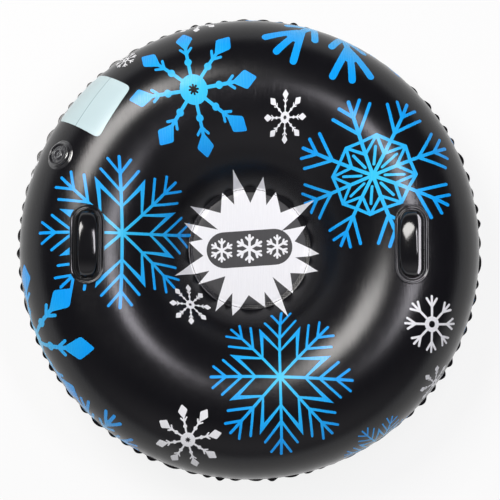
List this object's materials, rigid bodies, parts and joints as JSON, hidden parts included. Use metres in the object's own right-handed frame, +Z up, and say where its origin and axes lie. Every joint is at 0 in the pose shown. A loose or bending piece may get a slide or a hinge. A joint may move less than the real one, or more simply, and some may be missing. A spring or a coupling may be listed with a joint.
{
  "type": "inflatable snow tube",
  "caption": "Round inflatable sledging tube with a sunken seat floor, puckered welded rim, moulded grab handles, a pull-out stem valve with a strapped plug, and a blank panel.",
  "frame": {"origin": "centre of the bounding box's underside, on the ground under the middle of the tube", "axes": "+Z up out of the seat, the shortest extent; +X towards the right handle; the valve and the panel lie on the -X, +Y side"},
  "size_m": [0.956, 0.956, 0.2888],
  "materials": {
    "upper_vinyl": "satin embossed black vinyl sheet, printed",
    "lower_vinyl": "satin black vinyl sheet",
    "handle_vinyl": "glossy black moulded vinyl",
    "valve_vinyl": "glossy smoky clear moulded vinyl",
    "panel_vinyl": "smooth pale printed film"
  },
  "bodies": {
    "tube": {"upper_skin": "upper_vinyl", "lower_skin": "lower_vinyl", "right_handle_base": "handle_vinyl", "left_handle_base": "handle_vinyl", "right_handle_grip": "handle_vinyl", "left_handle_grip": "handle_vinyl", "valve_flange": "valve_vinyl", "valve_neck": "valve_vinyl", "info_panel": "panel_vinyl"},
    "stem": {"valve_stem": "valve_vinyl"},
    "plug": {"valve_plug": "valve_vinyl"},
    "flap": {"check_flap": "valve_vinyl"}
  },
  "joints": [
    {"name": "stem_pull", "type": "slide", "parent": "tube", "child": "stem", "axis": [-0.5557, 0.265, 0.788], "range_m": [0, 0.018], "deforming": ["valve_neck"]},
    {"name": "plug_hinge", "type": "hinge", "parent": "stem", "child": "plug", "pos_m": [-0.39559, 0.18868, 0.21858], "axis": [-0.4305, -0.9026, 0], "range_deg": [0, 115]},
    {"name": "flap_hinge", "type": "hinge", "parent": "stem", "child": "flap", "pos_m": [-0.3756, 0.17915, 0.20111], "axis": [0.4305, 0.9026, 0], "range_deg": [0, 60], "stiffness_Nm_per_rad": 0.0006, "springref_deg": -22.92}
  ]
}
